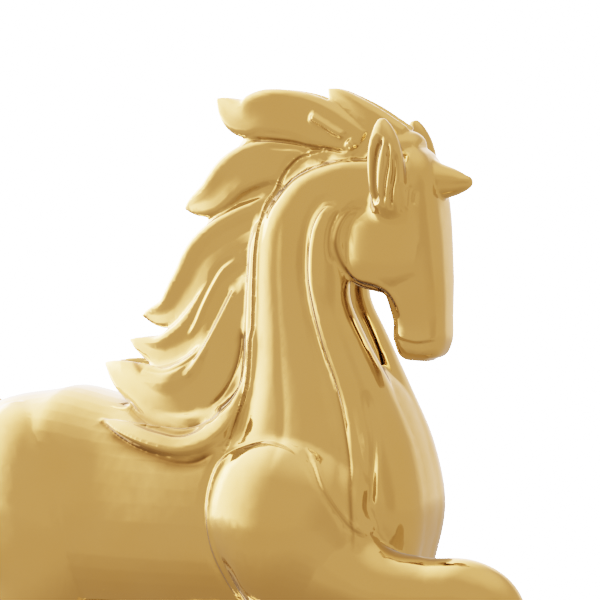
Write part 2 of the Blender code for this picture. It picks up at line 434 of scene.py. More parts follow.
@dataclass(frozen=True)
class Neck(Part):
    """The arched neck: a broad rear lobe and two narrow front lobes, with grooves between them."""

    rear_lobe: Form = Form(
        (
            (36, 0, 283, 10, 11),
            (21, 0, 281, 12.5, 13),
            (7, 0, 275, 14, 14.5),
            (-1.5, 0, 262, 15, 15.5),
            (-3, 0, 247, 15.5, 16),
            (-1.5, 0, 230, 18, 17.5),
            (2, 0, 212, 22, 20.5),
            (5, 0, 194, 27, 25),
            (8, 0, 176, 32, 29),
            (8, 0, 156, 38, 31),
        ),
        FLAT_SIDED,
    )
    front_lobes: Form = Form(
        (
            (25, 6, 277, 6, 7),
            (18, 8, 266, 8.5, 8.5),
            (16, 9, 252, 8.5, 8.5),
            (17, 9.5, 238, 8, 8.5),
            (24.1, 10, 222, 8.4, 9.5),
            (32.2, 8.5, 203, 9.9, 12.5),
            (39, 8, 184, 11.5, 16),
            (44, 8, 164, 10.6, 17),
            (42.8, 8, 147, 9.3, 14),
            (40.5, 8, 137, 7.8, 11.5),
            (36.5, 8, 129, 4.5, 7),
        ),
        sides=BOTH,
    )
    groove: Trace = (
        (21.5, 274.9), (17.5, 275.4), (14.6, 273.2), (12.2, 268.6), (11.0, 263.0), (10.6, 255.4),
        (11.2, 247.0), (14.6, 233.3), (18.4, 221.0), (22.4, 211.3), (28.6, 193.0), (32.3, 178.3),
        (35.0, 166.0), (36.8, 156.0), (37.4, 150.0),
    )
    mane_border: Trace = (
        (21, 297), (6.5, 295.0), (-1.4, 290.0), (-7.2, 281.2), (-11.2, 274.0), (-12.8, 262.3),
        (-13.4, 249.8), (-13.2, 228.1), (-13.2, 211.7), (-14.0, 203), (-16.2, 190.6), (-19.5, 180.5),
    )
    chest: Form = Form(
        (
            (29.5, 0, 214, 5, 6),
            (32.4, 0, 203, 9.9, 16),
            (39, 0, 184, 11.6, 19),
            (44, 0, 164, 10.8, 20),
            (42.8, 0, 148, 9.5, 17),
            (40.5, 0, 137, 8, 14),
            (36.5, 0, 128, 5, 8),
        ),
        power=2.5,
    )
    flute_shares: tuple[float, ...] = (0.45, 0.72)
    flute_steps: int = 8
    flute_thinning: int = 3
    border_start: int = 4
    groove_start: int = 3
    groove_end: int = -2
    chest_flute: Trace = (
        (35.2, 208.0), (38.4, 198.0), (40.3, 189.5), (40.6, 180.5), (40.0, 171.5), (38.4, 162.0),
    )

    def shapes(self) -> tuple[Shape, ...]:
        """Gives the neck's lobes and the chest between them."""
        return self.rear_lobe, self.front_lobes, self.chest

    def strokes(self) -> Iterator[Stroke]:
        """Gives the neck's two long grooves and the faint flutes between them."""
        yield Stroke(self.groove, 4.0, 3.4, Cut.STEP, fill=7.0, outer=6, climb=0.8)
        # The groove's crease and the mane's border also paint shade along their lines.
        yield Stroke(self.groove, 0.8, 0.5, Cut.CREASE, outer=6, pool=0.55, painted_shade_width=0.7)
        yield Stroke(self.mane_border, 2.2, 1.9, Cut.STEP, fill=4.0, outer=5, pool=0.55, painted_shade_width=0.6)
        yield Stroke(self.mane_border, 13.0, 2.6, Cut.SLOPE, outer=5)
        yield Stroke(self.chest_flute, 1.9, 1.0, Cut.GROOVE, outer=8)
        for share in self.flute_shares:
            yield Stroke(self.between(share), 2.4, 0.22, Cut.GROOVE, outer=10)

    def between(self, share: float) -> Trace:
        """Draws a line between the mane's border and the groove.

        Args:
            share: 0 at the border and 1 at the groove.

        Returns:
            The line, from the top of the neck down.
        """
        rear = smooth_rows(self.mane_border[self.border_start :], self.flute_steps)
        front = smooth_rows(self.groove[self.groove_start : self.groove_end], self.flute_steps)
        count = min(len(rear), len(front))
        rear = rear[np.linspace(0, len(rear) - 1, count).astype(int)]
        front = front[np.linspace(0, len(front) - 1, count).astype(int)]
        mixed = rear * (1 - share) + front * share
        return tuple((float(x), float(z)) for x, z in mixed[:: self.flute_thinning])


@dataclass(frozen=True)
class Head(Part):
    """The bowed head: face, cheeks, forelock and upright ears. Its sides are flat and featureless."""

    face: Form = Form(
        (
            (40, 0, 298, 5, 5),
            (43, 0, 289, 12.5, 11.5),
            (44.9, 0, 276, 13.8, 13.5),
            (46.3, 0, 260, 13.9, 13),
            (48.8, 0, 246, 12.2, 11.5),
            (50.5, 0, 234, 10.4, 10),
            (50.4, 0, 226, 10.3, 9.5),
            (49.6, 0, 220.5, 8, 8),
            (49.5, 0, 218, 4.5, 4.5),
        ),
        FLAT_SIDED,
    )
    cheek: Form = Form(
        (
            (20, 0, 261, 6, 5),
            (22, 0, 261, 12, 10),
            (26.5, 0, 261, 15, 13),
            (34, 0, 260, 16.5, 14),
            (43, 0, 259, 16.5, 14),
            (53, 0, 258, 12, 13),
        ),
        FLAT_SIDED,
    )
    forelock: Form = Form(
        (
            (38, 0, 289, 8, 8),
            (47, 0, 287, 8.5, 8),
            (55, 0, 284.7, 7.2, 6.8),
            (62, 0, 284.1, 5.4, 5),
            (67, 0, 284.2, 3.2, 3.2),
            (69.6, 0, 285, 1.5, 1.5),
        )
    )
    right_ear: Form = Form(
        (
            (42.4, 8.5, 270, 6.4, 4.2),
            (42.2, 13.2, 279, 7.2, 5.0),
            (41.6, 14.4, 288, 7.2, 5.0),
            (40.8, 14.6, 297, 6.2, 4.2),
            (40.0, 14.2, 303.5, 4.0, 3.0),
            (39.4, 13.8, 307.5, 1.4, 1.3),
        ),
        power=2.4,
        sides=(Side.RIGHT,),
    )
    poll: Form = Form(
        ((34, 0, 289, 8, 9), (39, 0, 294.5, 8, 9.5), (44.5, 0, 296.5, 7, 8), (49, 0, 295, 5, 6)),
    )
    ear_base: Trace = ((36.5, 275.5), (39.5, 271.5), (44.5, 270.5), (49.5, 273.5), (51, 279))
    left_ear_forward: float = 1.6
    cheek_rim: Trace = (
        (31.5, 275.0), (27.2, 273.8), (24.4, 271.8), (22.4, 267.6), (21.6, 262.8), (22.2, 258.0),
        (24.3, 252.4), (28.6, 247.9), (36.0, 246.0), (40.8, 243.1), (43.6, 238.8), (45.4, 233.2),
    )
    cheek_back: Trace = ((22.4, 274.0), (20.9, 271.0), (19.4, 266.0), (19.2, 259.5), (20.6, 254.0))
    lip: Trace = ((43.8, 227.1), (47.7, 226.0), (52.3, 225.4), (59.6, 226.6))
    ear_hollow: Trace = ((40.8, 301.5), (38.6, 295.2), (37.6, 288.7), (37.4, 281.3), (38.4, 276.0))
    ear_folds: tuple[Trace, ...] = (
        ((43.2, 300.0), (43.9, 292.3), (42.6, 285.0), (41.3, 275.0)),
        ((46.2, 295.5), (46.4, 287.8), (45.2, 281.3), (43.9, 274.0)),
    )
    temple_folds: tuple[Trace, ...] = (
        ((48.0, 284.0), (47.6, 273.0)),
        ((50.2, 282.5), (49.8, 274.5)),
        ((52.4, 281.0), (52.0, 276.0)),
    )

    def shapes(self) -> tuple[Shape, ...]:
        """Gives the head's forms, apart from the left ear."""
        return self.face, self.cheek, self.poll, self.forelock, self.right_ear

    def forms(self) -> Iterator[tuple[Shape, np.ndarray, tuple[Side, ...]]]:
        """Gives each form with its rows and sides: the left ear stands further forward than the right one."""
        yield from super().forms()
        left = self.right_ear.rows()
        left[:, 0] += self.left_ear_forward
        yield self.right_ear, left, (Side.LEFT,)

    def strokes(self) -> Iterator[Stroke]:
        """Gives the rim of the cheek and jaw, the lip, the folds of the ears and the creases before them."""
        # The cheek's rim, its back, the ear's hollow and its folds also paint shade along their lines.
        yield Stroke(self.cheek_rim, 2.2, 1.7, Cut.STEP, fill=5.0, outer=6, climb=0.6, pool=0.6)
        yield Stroke(self.cheek_back, 1.1, 1.0, Cut.GROOVE, outer=6, pool=0.3)
        yield Stroke(self.lip, 1.8, 0.8, Cut.STEP)
        yield Stroke(self.ear_base, 1.0, 0.1, fill=6.0)
        yield Stroke(self.ear_hollow, 2.0, 2.8, Cut.GROOVE, outer=10, pool=0.5)
        for fold in self.ear_folds:
            yield Stroke(fold, 1.1, 1.5, Cut.GROOVE, outer=9, pool=0.4, painted_shade_width=0.6)
        for fold in self.temple_folds:
            yield Stroke(fold, 1.0, 0.6, Cut.GROOVE, outer=6)


@dataclass(frozen=True)
class Mane(Part):
    """The mane: a thin core along the crest and the flung locks on both its sides."""

    core: Form = Form(
        (
            (32, 0, 296, 8, 6),
            (10, 0, 298, 10, 6.5),
            (-9, 0, 293, 15, 6.5),
            (-21, 0, 272, 15, 6.5),
            (-28, 0, 246, 17, 7),
            (-32, 0, 222, 21, 7.5),
            (-30, 0, 200, 22, 9),
        ),
        FLAT_SIDED,
    )
    bed: Form = Form(
        ((-12, 0, 206, 8, 16), (-24, 0, 196, 8.5, 20), (-40, 0, 193, 6.5, 21), (-58, 0, 196, 4, 17)),
    )
    web: Form = Form(
        ((-26, 0, 226, 7, 13), (-42, 0, 214, 5, 14.5), (-54, 0, 211.5, 3.5, 12), (-62, 0, 212, 2, 8)),
    )
    locks: tuple[Lock, ...] = (
        Lock(
            depth=6.5,
            width=5.0,
            line=((42, 3, 299), (31, 3, 306), (21, 2, 312), (12, 1, 319.5)),
        ),
        Lock(
            depth=9.5,
            width=6.5,
            line=((26, 4, 296), (8, 4, 306.9), (-10, 4.5, 310.5), (-23, 4, 308.8), (-34.7, 1.8, 316.2)),
            scoop=0.55,
        ),
        Lock(
            depth=9.5,
            width=6.5,
            line=((10, 5, 286), (-8, 5, 292), (-23, 6, 287.6), (-34.8, 5, 278), (-48.4, 2.5, 273.8)),
            scoop=0.55,
        ),
        Lock(
            depth=9.5,
            width=6.5,
            line=(
                (-4, 5, 272), (-21.5, 6, 266), (-35.4, 7, 256.7), (-43.6, 6.5, 244.6),
                (-53.2, 5.5, 234), (-67, 3, 232),
            ),
            scoop=0.62,
        ),
        Lock(
            depth=9.0,
            width=6.5,
            line=(
                (-8, 6, 258), (-25, 7, 246), (-36, 8.5, 231), (-46.2, 7.5, 222.3), (-57.8, 6, 218.6),
                (-72.5, 3, 222.5),
            ),
            scoop=0.62,
        ),
        Lock(
            depth=12.5,
            width=7.0,
            line=(
                (-10, 7, 244), (-20, 10, 224), (-31, 13.5, 210), (-47.6, 15, 202), (-64.8, 11.5, 206),
                (-82.6, 5, 213.3),
            ),
            scoop=0.62,
        ),
        Lock(
            depth=8.0,
            width=7.5,
            line=(
                (-12.3, 16, 210), (-16, 19, 197), (-24, 22.5, 188), (-36, 24, 184), (-54, 24, 186.5),
                (-75, 21, 192.5),
            ),
            scoop=0.0,
            root=0.35,
        ),
    )
    parting: Trace = (
        (-18.9, 300.5), (-10.4, 300.4), (0.0, 299.2), (7.9, 297.3), (16.6, 296.2), (22.7, 295.4),
    )
    strand: Trace = ((-11.0, 297.4), (-3.7, 297.0), (3.0, 296.6), (7.6, 294.3))
    finger: Trace = ((7.2, 309.3), (12.1, 306.6), (17.1, 303.6), (22.4, 301.0))
    knob: Trace = ((23.0, 299.6), (25.3, 296.6))
    leaf: Trace = (
        (-22.0, 255.3), (-28.0, 251.4), (-32.4, 244.8), (-36.3, 237.1), (-39.4, 230.5), (-42.8, 225.4),
    )
    leaf_crease: Trace = (
        (-23.0, 244.6), (-25.6, 239.2), (-30.3, 229.6), (-34.6, 219.9), (-38.1, 214.0), (-42.0, 210.4),
    )
    under_edge: Trace = (
        (-70, 200.3), (-62.8, 195.6), (-54, 192), (-45.3, 190.2), (-36.7, 189.6), (-27, 193),
    )
    low_ridge: Trace = (
        (-72, 191.6), (-60.6, 188), (-47.6, 184.6), (-36.9, 183.6), (-26.2, 186), (-18.4, 193),
        (-14, 203),
    )
    hollow_wall: Trace = ((-16.2, 229), (-15.8, 220.5), (-17.0, 211), (-20.6, 202.5), (-27, 196))
    tip_edges: tuple[Trace, ...] = (
        ((-66, 231.4), (-64.5, 230.6), (-62, 229), (-59.8, 227.5), (-58, 226.8)),
        ((-71.5, 219.5), (-70, 218), (-66.6, 215.3), (-62.4, 212), (-60.5, 211)),
        ((-82, 212), (-79.5, 207.5), (-76.5, 203.5), (-72.5, 199.5), (-68, 197)),
        ((-74.5, 192.4), (-73.3, 191.5), (-69.1, 189.3), (-63.6, 186.5), (-60, 185)),
    )
    low_edge: Trace = (
        (-73, 190.5), (-61.7, 184.8), (-48.7, 181), (-37.9, 178.8), (-28.5, 179.4), (-20.9, 184),
    )
    hollow: Trace = ((-19.4, 229.0), (-19.2, 222.2), (-20.5, 213.3), (-24.4, 204.8), (-30.5, 198.6))
    short_gap: Trace = ((-66, 213.5), (-57, 211.5), (-49, 211.5), (-41, 215), (-35, 220.5))

    def shapes(self) -> tuple[Shape, ...]:
        """Gives the core, the two forms that close the gaps between the low locks, and the locks."""
        return self.core, self.bed, self.web, *self.locks

    def strokes(self) -> Iterator[Stroke]:
        """Gives the creases that part the locks, the raised finger of hair and the hollow by the neck, with
        shade painted along the creases, in the hollow and under the locks' edges and tips.
        """
        yield Stroke(self.parting, 1.2, 1.5, fill=2.5, pool=0.6)
        yield Stroke(self.strand, 1.1, 0.9, Cut.GROOVE)
        yield Stroke(self.finger, 2.0, 2.1, Cut.RIDGE)
        yield Stroke(self.knob, 1.7, 1.6, Cut.RIDGE)
        yield Stroke(self.leaf, 2.0, 1.2, Cut.STEP, fill=3.0)
        yield Stroke(self.leaf_crease, 2.4, 2.2, Cut.STEP, fill=3.5, climb=0.7, pool=0.6)
        yield Stroke(self.hollow, 1.2, 0.8, fill=6.0, pool=0.7, painted_shade_width=0.7)
        yield Stroke(self.hollow_wall, 5.0, 3.4, Cut.STEP, climb=0.85)
        yield Stroke(self.short_gap, 1.0, 0.5, fill=5.5)
        # The edge under the locks, the lowest lock's edge and the lock tips mostly carry painted shade, where
        # shade falls under them.
        yield Stroke(self.under_edge, 1.4, 1.0, Cut.GROOVE, fill=5.0, pool=0.75, painted_shade_width=2.2)
        yield Stroke(self.low_ridge, 2.4, 0.7, Cut.RIDGE)
        yield Stroke(self.low_edge, 1.2, 0.2, pool=0.85, painted_shade_width=2.6)
        for edge in self.tip_edges:
            yield Stroke(edge, 1.2, 0.2, outer=1.0, pool=0.85, painted_shade_width=1.6)


@dataclass(frozen=True)
class Tail(Part):
    """The flung tail, in three locks on each side."""

    locks: tuple[Lock, ...] = (
        Lock(
            depth=10.0,
            width=8.0,
            line=(
                (-134, 4, 182), (-150, 4, 192), (-168, 5, 187), (-182, 4, 168), (-191, 4, 145),
                (-218, 1, 125),
            ),
        ),
        Lock(
            depth=11.0,
            width=8.0,
            line=(
                (-136, 4, 176), (-151, 5, 182), (-165, 5, 169), (-174, 5, 147), (-182, 5, 123),
                (-208, 1, 100),
            ),
        ),
        Lock(
            depth=10.0,
            width=8.0,
            line=(
                (-138, 4, 168), (-150, 4, 168), (-158, 5, 150), (-164, 5, 128), (-171, 4, 106),
                (-194, 1, 79),
            ),
        ),
    )

    def shapes(self) -> tuple[Shape, ...]:
        """Gives the locks, which part by their own forms and take no strokes."""
        return self.locks


@dataclass(frozen=True)
class Legs(Part):
    """The four legs: one foreleg raised, the other three standing on the plinth.

    The hind legs are one drawing, stepped forward on the left and back on the right.
    """

    standing_foreleg: Form = Form(
        (
            (10, 20, 150, 24, 15),
            (14, 20, 128, 17, 12.5),
            (17, 19.5, 108, 11.5, 10),
            (18.5, 19, 88, 8.5, 8.2),
            (19, 19, 74, 9.4, 8.8),
            (17.5, 19, 62, 7, 6.8),
            (17, 19, 42, 6.4, 6.4),
            (18, 19, 28, 7.8, 7.4),
            (22, 19, 17, 7.2, 7.2),
            (24, 19, 13, 8, 7.8),
            (25, 19, 11, 9.8, 9.4),
            (27.5, 19, 0, 12.8, 12),
        )
    )
    raised_foreleg: Form = Form(
        (
            (8, 22, 150, 26, 15),
            (26, 24, 143, 21, 14),
            (43, 25.5, 136.5, 15.5, 12.5),
            (62, 26, 135.5, 13.5, 11.4),
            (79, 26.5, 137, 12.4, 10.6),
            (89, 26.5, 131, 11.4, 10),
            (90.3, 26, 116, 9, 8.6),
            (85, 25.5, 100, 7.2, 7),
            (78.5, 25, 87, 8, 7.6),
            (70, 24.5, 80, 7.4, 7.4),
            (62, 24, 77.5, 9.8, 9.6),
            (53, 24, 75, 12, 11.4),
        ),
        sides=(Side.RIGHT,),
    )
    hind_leg: Form = Form(
        (
            (-117, 11, 195, 7, 7),
            (-115, 15, 185, 22, 14),
            (-110, 18, 168, 31.5, 18),
            (-104, 20, 147, 31, 17.5),
            (-100, 21, 126, 23, 14.5),
            (-109, 21, 106, 14, 11),
            (-120, 20.5, 90, 10.5, 9),
            (-125, 20, 78, 9.8, 8.6),
            (-122, 20, 64, 7.4, 7.4),
            (-119, 20, 44, 6.8, 6.8),
            (-117, 20, 29, 8.2, 7.6),
            (-112, 20, 17, 7.4, 7.4),
            (-109.5, 20, 13, 8, 7.8),
            (-108, 20, 11, 9.8, 9.4),
            (-105.5, 20, 0, 12.8, 12),
        ),
        sides=BOTH,
    )
    left_hind_step: float = 14.0
    right_hind_step: float = -16.0
    hip_height: float = 150.0
    hock_height: float = 60.0
    sole_depth: float = 4.5

    def standing(self, rows: np.ndarray) -> np.ndarray:
        """Runs a standing leg on into the plinth.

        Args:
            rows: The leg's rows, down to the plinth's top.

        Returns:
            The rows with one more, the sole's.
        """
        sole = rows[-1].copy()
        sole[2] -= self.sole_depth
        return np.vstack([rows, sole])

    def hind_rows(self, side: Side) -> np.ndarray:
        """Steps a hind leg forward or back: fully below the hock, and not at all at the hip.

        Args:
            side: Which hind leg.

        Returns:
            The leg's rows, down to its sole.
        """
        rows = self.hind_leg.rows()
        share = np.clip((self.hip_height - rows[:, 2]) / (self.hip_height - self.hock_height), 0, 1)
        rows[:, 0] += share * (self.left_hind_step if side is Side.LEFT else self.right_hind_step)
        return self.standing(rows)

    def forms(self) -> Iterator[tuple[Shape, np.ndarray, tuple[Side, ...]]]:
        """Gives each leg with its rows and side. The legs are smooth and take no strokes."""
        yield self.standing_foreleg, self.standing(self.standing_foreleg.rows()), (Side.LEFT,)
        yield self.raised_foreleg, self.raised_foreleg.rows(), self.raised_foreleg.sides
        for side in BOTH:
            yield self.hind_leg, self.hind_rows(side), (side,)


@dataclass(frozen=True)
class Plinth:
    """The low plinth under the hooves, with round ends and an eased upper edge."""

    half_length: float
    half_width: float
    height: float = PLINTH_HEIGHT
    edge: float = 0.004
    end_segments: int = 40
    edge_segments: int = 8

    def outline(self, inset: float) -> np.ndarray:
        """Draws the plinth's outline.

        Args:
            inset: How far inside the widest outline it lies.

        Returns:
            Pairs of x and y, round from one side of the front end.
        """
        turns = np.pi * (np.arange(self.end_segments + 1) / self.end_segments - 0.5)
        radius = self.half_width - inset
        middle = self.half_length - self.half_width
        front = np.column_stack([middle + radius * np.cos(turns), radius * np.sin(turns)])
        return np.vstack([front, -front])

    def rings(self) -> np.ndarray:
        """Stacks the outline from the underside up over the eased edge.

        Returns:
            Points in metres, as an array of rings by sides by 3.
        """
        levels = [(0.0, 0.0), (0.0, self.height - self.edge)]
        for k in range(1, self.edge_segments + 1):
            turn = 0.5 * math.pi * k / self.edge_segments
            rise = self.height - self.edge + self.edge * math.sin(turn)
            levels.append((self.edge * (1 - math.cos(turn)), rise))
        rings = []
        for inset, height in levels:
            outline = self.outline(inset)
            rings.append(np.column_stack([outline, np.full(len(outline), height)]))
        return np.array(rings)


def ramp(
    tree: bpy.types.ShaderNodeTree,
    value: bpy.types.NodeSocket,
    span: Span,
    levels: Span,
) -> bpy.types.NodeSocket:
    """Eases from one level to another as a value crosses a span.

    Args:
        tree: The node tree.
        value: The socket that is read.
        span: The value's two ends.
        levels: The level at each end.

    Returns:
        The socket that holds the level.
    """
    node = tree.nodes.new("ShaderNodeMapRange")
    node.interpolation_type = "SMOOTHSTEP"
    node.inputs["From Min"].default_value = span[0]
    node.inputs["From Max"].default_value = span[1]
    node.inputs["To Min"].default_value = levels[0]
    node.inputs["To Max"].default_value = levels[1]
    tree.links.new(value, node.inputs["Value"])
    return node.outputs["Result"]


def tint(
    tree: bpy.types.ShaderNodeTree,
    factor: bpy.types.NodeSocket,
    base: bpy.types.NodeSocket,
    colour: Colour,
) -> bpy.types.NodeSocket:
    """Goes from a base colour to a fixed one by a factor.

    Args:
        tree: The node tree.
        factor: The socket that gives the factor.
        base: The socket that gives the colour at 0.
        colour: The colour at 1.

    Returns:
        The socket that holds the mixed colour.
    """
    node = tree.nodes.new("ShaderNodeMix")
    node.data_type = "RGBA"
    node.inputs["B"].default_value = colour
    tree.links.new(factor, node.inputs["Factor"])
    tree.links.new(base, node.inputs["A"])
    return node.outputs["Result"]


def ray_switch(
    tree: bpy.types.ShaderNodeTree,
    ray: str,
    usual: bpy.types.NodeSocket,
    for_ray: bpy.types.NodeSocket,
) -> bpy.types.NodeSocket:
    """Shows one kind of ray another surface.

    Args:
        tree: The node tree.
        ray: The name of the Light Path output.
        usual: The socket of what all other rays meet.
        for_ray: The socket of what this kind of ray meets.

    Returns:
        The socket that holds the switched surface.
    """
    path = tree.nodes.new("ShaderNodeLightPath")
    which = tree.nodes.new("ShaderNodeMixShader")
    tree.links.new(path.outputs[ray], which.inputs["Fac"])
    tree.links.new(usual, which.inputs[1])
    tree.links.new(for_ray, which.inputs[2])
    return which.outputs["Shader"]


@dataclass(frozen=True)
class GoldGlaze:
    """The bright gold glaze, fired over the whole work: warmer where it pools, glossy like a mirror.

    Mirror rays meet the paler mirrored colour, so that gold seen in gold doesn't turn orange. The flow is the
    glaze's broad unevenness, and the ripple is the fine one on it. The crease colour is painted shade, mixed
    in by the painted shade mask to darken creases, hollows and the undersides of edges where shade falls.
    """

    name: str = "gold_glaze"
    thin: Colour = (0.93, 0.53, 0.19, 1.0)
    pooled_tone_and_painted_shade: Colour = (0.87, 0.47, 0.148, 1.0)
    # Painted shade: the dark brown painted into creases, hollows and under edges, where shade falls.
    crease: Colour = (0.16, 0.075, 0.02, 1.0)
    mirrored: Colour = (0.66, 0.61, 0.52, 1.0)
    metallic: float = 1.0
    smoothest: float = 0.045
    roughest: float = 0.10
    coat: float = 0.15
    coat_roughness: float = 0.03
    waviness: float = 0.6
    wave_height: float = 0.0006
    flow_scale: float = 36.0
    flow_detail: float = 2.0
    flow_roughness: float = 0.45
    ripple_scale: float = 160.0
    ripple_detail: float = 1.0
    ripple_share: float = 0.12

    def flow_group(self) -> bpy.types.ShaderNodeTree:
        """Builds the effect of a glaze that has run and gathered unevenly: a broad tone mask and a low wavy
        height.

        Returns:
            A node group with Scale and Detail Scale in, and Tone and Height out.
        """
        group = bpy.data.node_groups.new("glaze_flow", "ShaderNodeTree")
        for name in ("Scale", "Detail Scale"):
            group.interface.new_socket(name, in_out="INPUT", socket_type="NodeSocketFloat")
        for name in ("Tone", "Height"):
            group.interface.new_socket(name, in_out="OUTPUT", socket_type="NodeSocketFloat")
        nodes, links = group.nodes, group.links
        source = nodes.new("NodeGroupInput")
        out = nodes.new("NodeGroupOutput")
        place = nodes.new("ShaderNodeTexCoord")
        broad = nodes.new("ShaderNodeTexNoise")
        broad.inputs["Detail"].default_value = self.flow_detail
        broad.inputs["Roughness"].default_value = self.flow_roughness
        ripple = nodes.new("ShaderNodeTexNoise")
        ripple.inputs["Detail"].default_value = self.ripple_detail
        for noise, scale in ((broad, "Scale"), (ripple, "Detail Scale")):
            links.new(place.outputs["Object"], noise.inputs["Vector"])
            links.new(source.outputs[scale], noise.inputs["Scale"])
        both = nodes.new("ShaderNodeMath")
        both.operation = "MULTIPLY_ADD"
        both.inputs[1].default_value = self.ripple_share
        links.new(ripple.outputs["Fac"], both.inputs[0])
        links.new(broad.outputs["Fac"], both.inputs[2])
        links.new(broad.outputs["Fac"], out.inputs["Tone"])
        links.new(both.outputs["Value"], out.inputs["Height"])
        return group

    def material(self) -> bpy.types.Material:
        """Builds the glaze's material.

        Returns:
            A node material, with plain values on the shader's own sockets and on the nodes that feed it.
        """
        made = bpy.data.materials.new(self.name)
        made.use_nodes = True
        nodes, links = made.node_tree.nodes, made.node_tree.links
        shader = nodes["Principled BSDF"]
        shader.inputs["Metallic"].default_value = self.metallic
        shader.inputs["Coat Weight"].default_value = self.coat
        shader.inputs["Coat Roughness"].default_value = self.coat_roughness
        flow = nodes.new("ShaderNodeGroup")
        flow.node_tree = self.flow_group()
        flow.inputs["Scale"].default_value = self.flow_scale
        flow.inputs["Detail Scale"].default_value = self.ripple_scale
        tone = nodes.new("ShaderNodeMix")
        tone.data_type = "RGBA"
        tone.inputs["A"].default_value = self.thin
        tone.inputs["B"].default_value = self.pooled_tone_and_painted_shade
        links.new(flow.outputs["Tone"], tone.inputs["Factor"])
        # Painted shade: the mesh's painted shade mask mixes the crease colour into creases, hollows and
        # undersides.
        painted_shade_mask = nodes.new("ShaderNodeAttribute")
        painted_shade_mask.attribute_name = "painted_shade_mask"
        deep = tint(made.node_tree, painted_shade_mask.outputs["Fac"], tone.outputs["Result"], self.crease)
        ray = nodes.new("ShaderNodeLightPath")
        bounced = tint(made.node_tree, ray.outputs["Is Glossy Ray"], deep, self.mirrored)
        links.new(bounced, shader.inputs["Base Color"])
        gloss = nodes.new("ShaderNodeMapRange")
        gloss.inputs["To Min"].default_value = self.smoothest
        gloss.inputs["To Max"].default_value = self.roughest
        links.new(flow.outputs["Tone"], gloss.inputs["Value"])
        links.new(gloss.outputs["Result"], shader.inputs["Roughness"])
        bump = nodes.new("ShaderNodeBump")
        bump.inputs["Strength"].default_value = self.waviness
        bump.inputs["Distance"].default_value = self.wave_height
        links.new(flow.outputs["Height"], bump.inputs["Height"])
        links.new(bump.outputs["Normal"], shader.inputs["Normal"])
        return made


@dataclass(frozen=True)
class Nearness:
    """The skin's points near one stroke's line: which they are, how far off, on which side, and where."""

    found: np.ndarray
    gap: np.ndarray
    ahead: np.ndarray
    share: np.ndarray
    facing: np.ndarray

    def fade(self) -> np.ndarray:
        """Gives the share that is left of the stroke, which runs out at its two ends."""
        return np.clip(np.minimum(self.share, 1 - self.share) / END_FADE, 0, 1)


def near_stroke(stroke: Stroke, side: Side, reach: float, grid: np.ndarray, normals: np.ndarray) -> Nearness:
    """Finds the points that one stroke reaches.

    Args:
        stroke: The stroke.
        side: The side it is cut on.
        reach: How far from its line to look.
        grid: The skin's points on the grid.
        normals: Their normals.

    Returns:
        The points near the line and their places beside it.
    """
    line = smooth_rows(stroke.trace, TRACE_STEPS)
    x, y, z = grid.T
    near = (x > line[:, 0].min() - reach) & (x < line[:, 0].max() + reach)
    near &= (z > line[:, 1].min() - reach) & (z < line[:, 1].max() + reach)
    near &= y * side.value > stroke.outer
    near &= normals[:, 1] * side.value > LEAST_FACING
    found = np.flatnonzero(near)
    flat = grid[found][:, (0, 2)]
    gap = np.full(len(found), np.inf)
    ahead = np.zeros(len(found))
    share = np.zeros(len(found))
    spans = len(line) - 1
    for k in range(spans):
        run = line[k + 1] - line[k]
        off = flat - line[k]
        t = np.clip(off @ run / (run @ run), 0, 1)
        distance = np.hypot(*(off - t[:, None] * run).T)
        closer = distance < gap
        gap[closer] = distance[closer]
        ahead[closer] = np.sign(run[0] * off[:, 1] - run[1] * off[:, 0])[closer]
        share[closer] = (k + t[closer]) / spans
    facing = np.clip((normals[found, 1] * side.value - LEAST_FACING) / FACING_RANGE, 0, 1)
    return Nearness(found, gap, ahead, share, facing)


def stroke_depths(stroke: Stroke, side: Side, grid: np.ndarray, normals: np.ndarray) -> np.ndarray:
    """Works out how far one stroke moves each point along its normal.

    Args:
        stroke: The stroke.
        side: The side it is cut on.
        grid: The skin's points on the grid.
        normals: Their normals.

    Returns:
        The moves on the grid, below 0 where the skin is cut in.
    """
    reach = stroke.width if stroke.cut is Cut.SLOPE else BELL_REACH * stroke.width
    near = near_stroke(stroke, side, reach, grid, normals)
    across = near.gap / stroke.width
    bell = np.exp(-BELL_SHARPNESS * across**2)
    if stroke.cut is Cut.CREASE:
        shape = -np.clip(1 - across, 0, 1) ** CREASE_POWER
    elif stroke.cut is Cut.GROOVE:
        shape = -bell
    elif stroke.cut is Cut.RIDGE:
        shape = bell
    elif stroke.cut is Cut.SLOPE:
        shape = -np.clip(1 - across, 0, 1) ** 2 * (near.ahead > 0)
    else:
        rise = np.clip(0.5 + 0.5 * near.ahead * across / stroke.climb, 0, 1)
        shape = bell * (rise * (STEP_UP + STEP_DOWN) - STEP_DOWN)
    moved = np.zeros(len(grid))
    moved[near.found] = shape * stroke.depth * near.fade() * near.facing
    return moved


def eased(values: np.ndarray, edges: np.ndarray, passes: int) -> np.ndarray:
    """Averages each point's values with its neighbours'.

    Args:
        values: One row for each point.
        edges: The two ends of each edge, as rows of point numbers.
        passes: How many times to average.

    Returns:
        The eased rows.
    """
    one, other = edges.T
    count = np.bincount(edges.ravel(), minlength=len(values))[:, None]
    for _ in range(passes):
        total = np.zeros_like(values)
        for k in range(values.shape[1]):
            total[:, k] = np.bincount(one, values[other, k], len(values))
            total[:, k] += np.bincount(other, values[one, k], len(values))
        values = (1 - EASE) * values + EASE * total / count
    return values


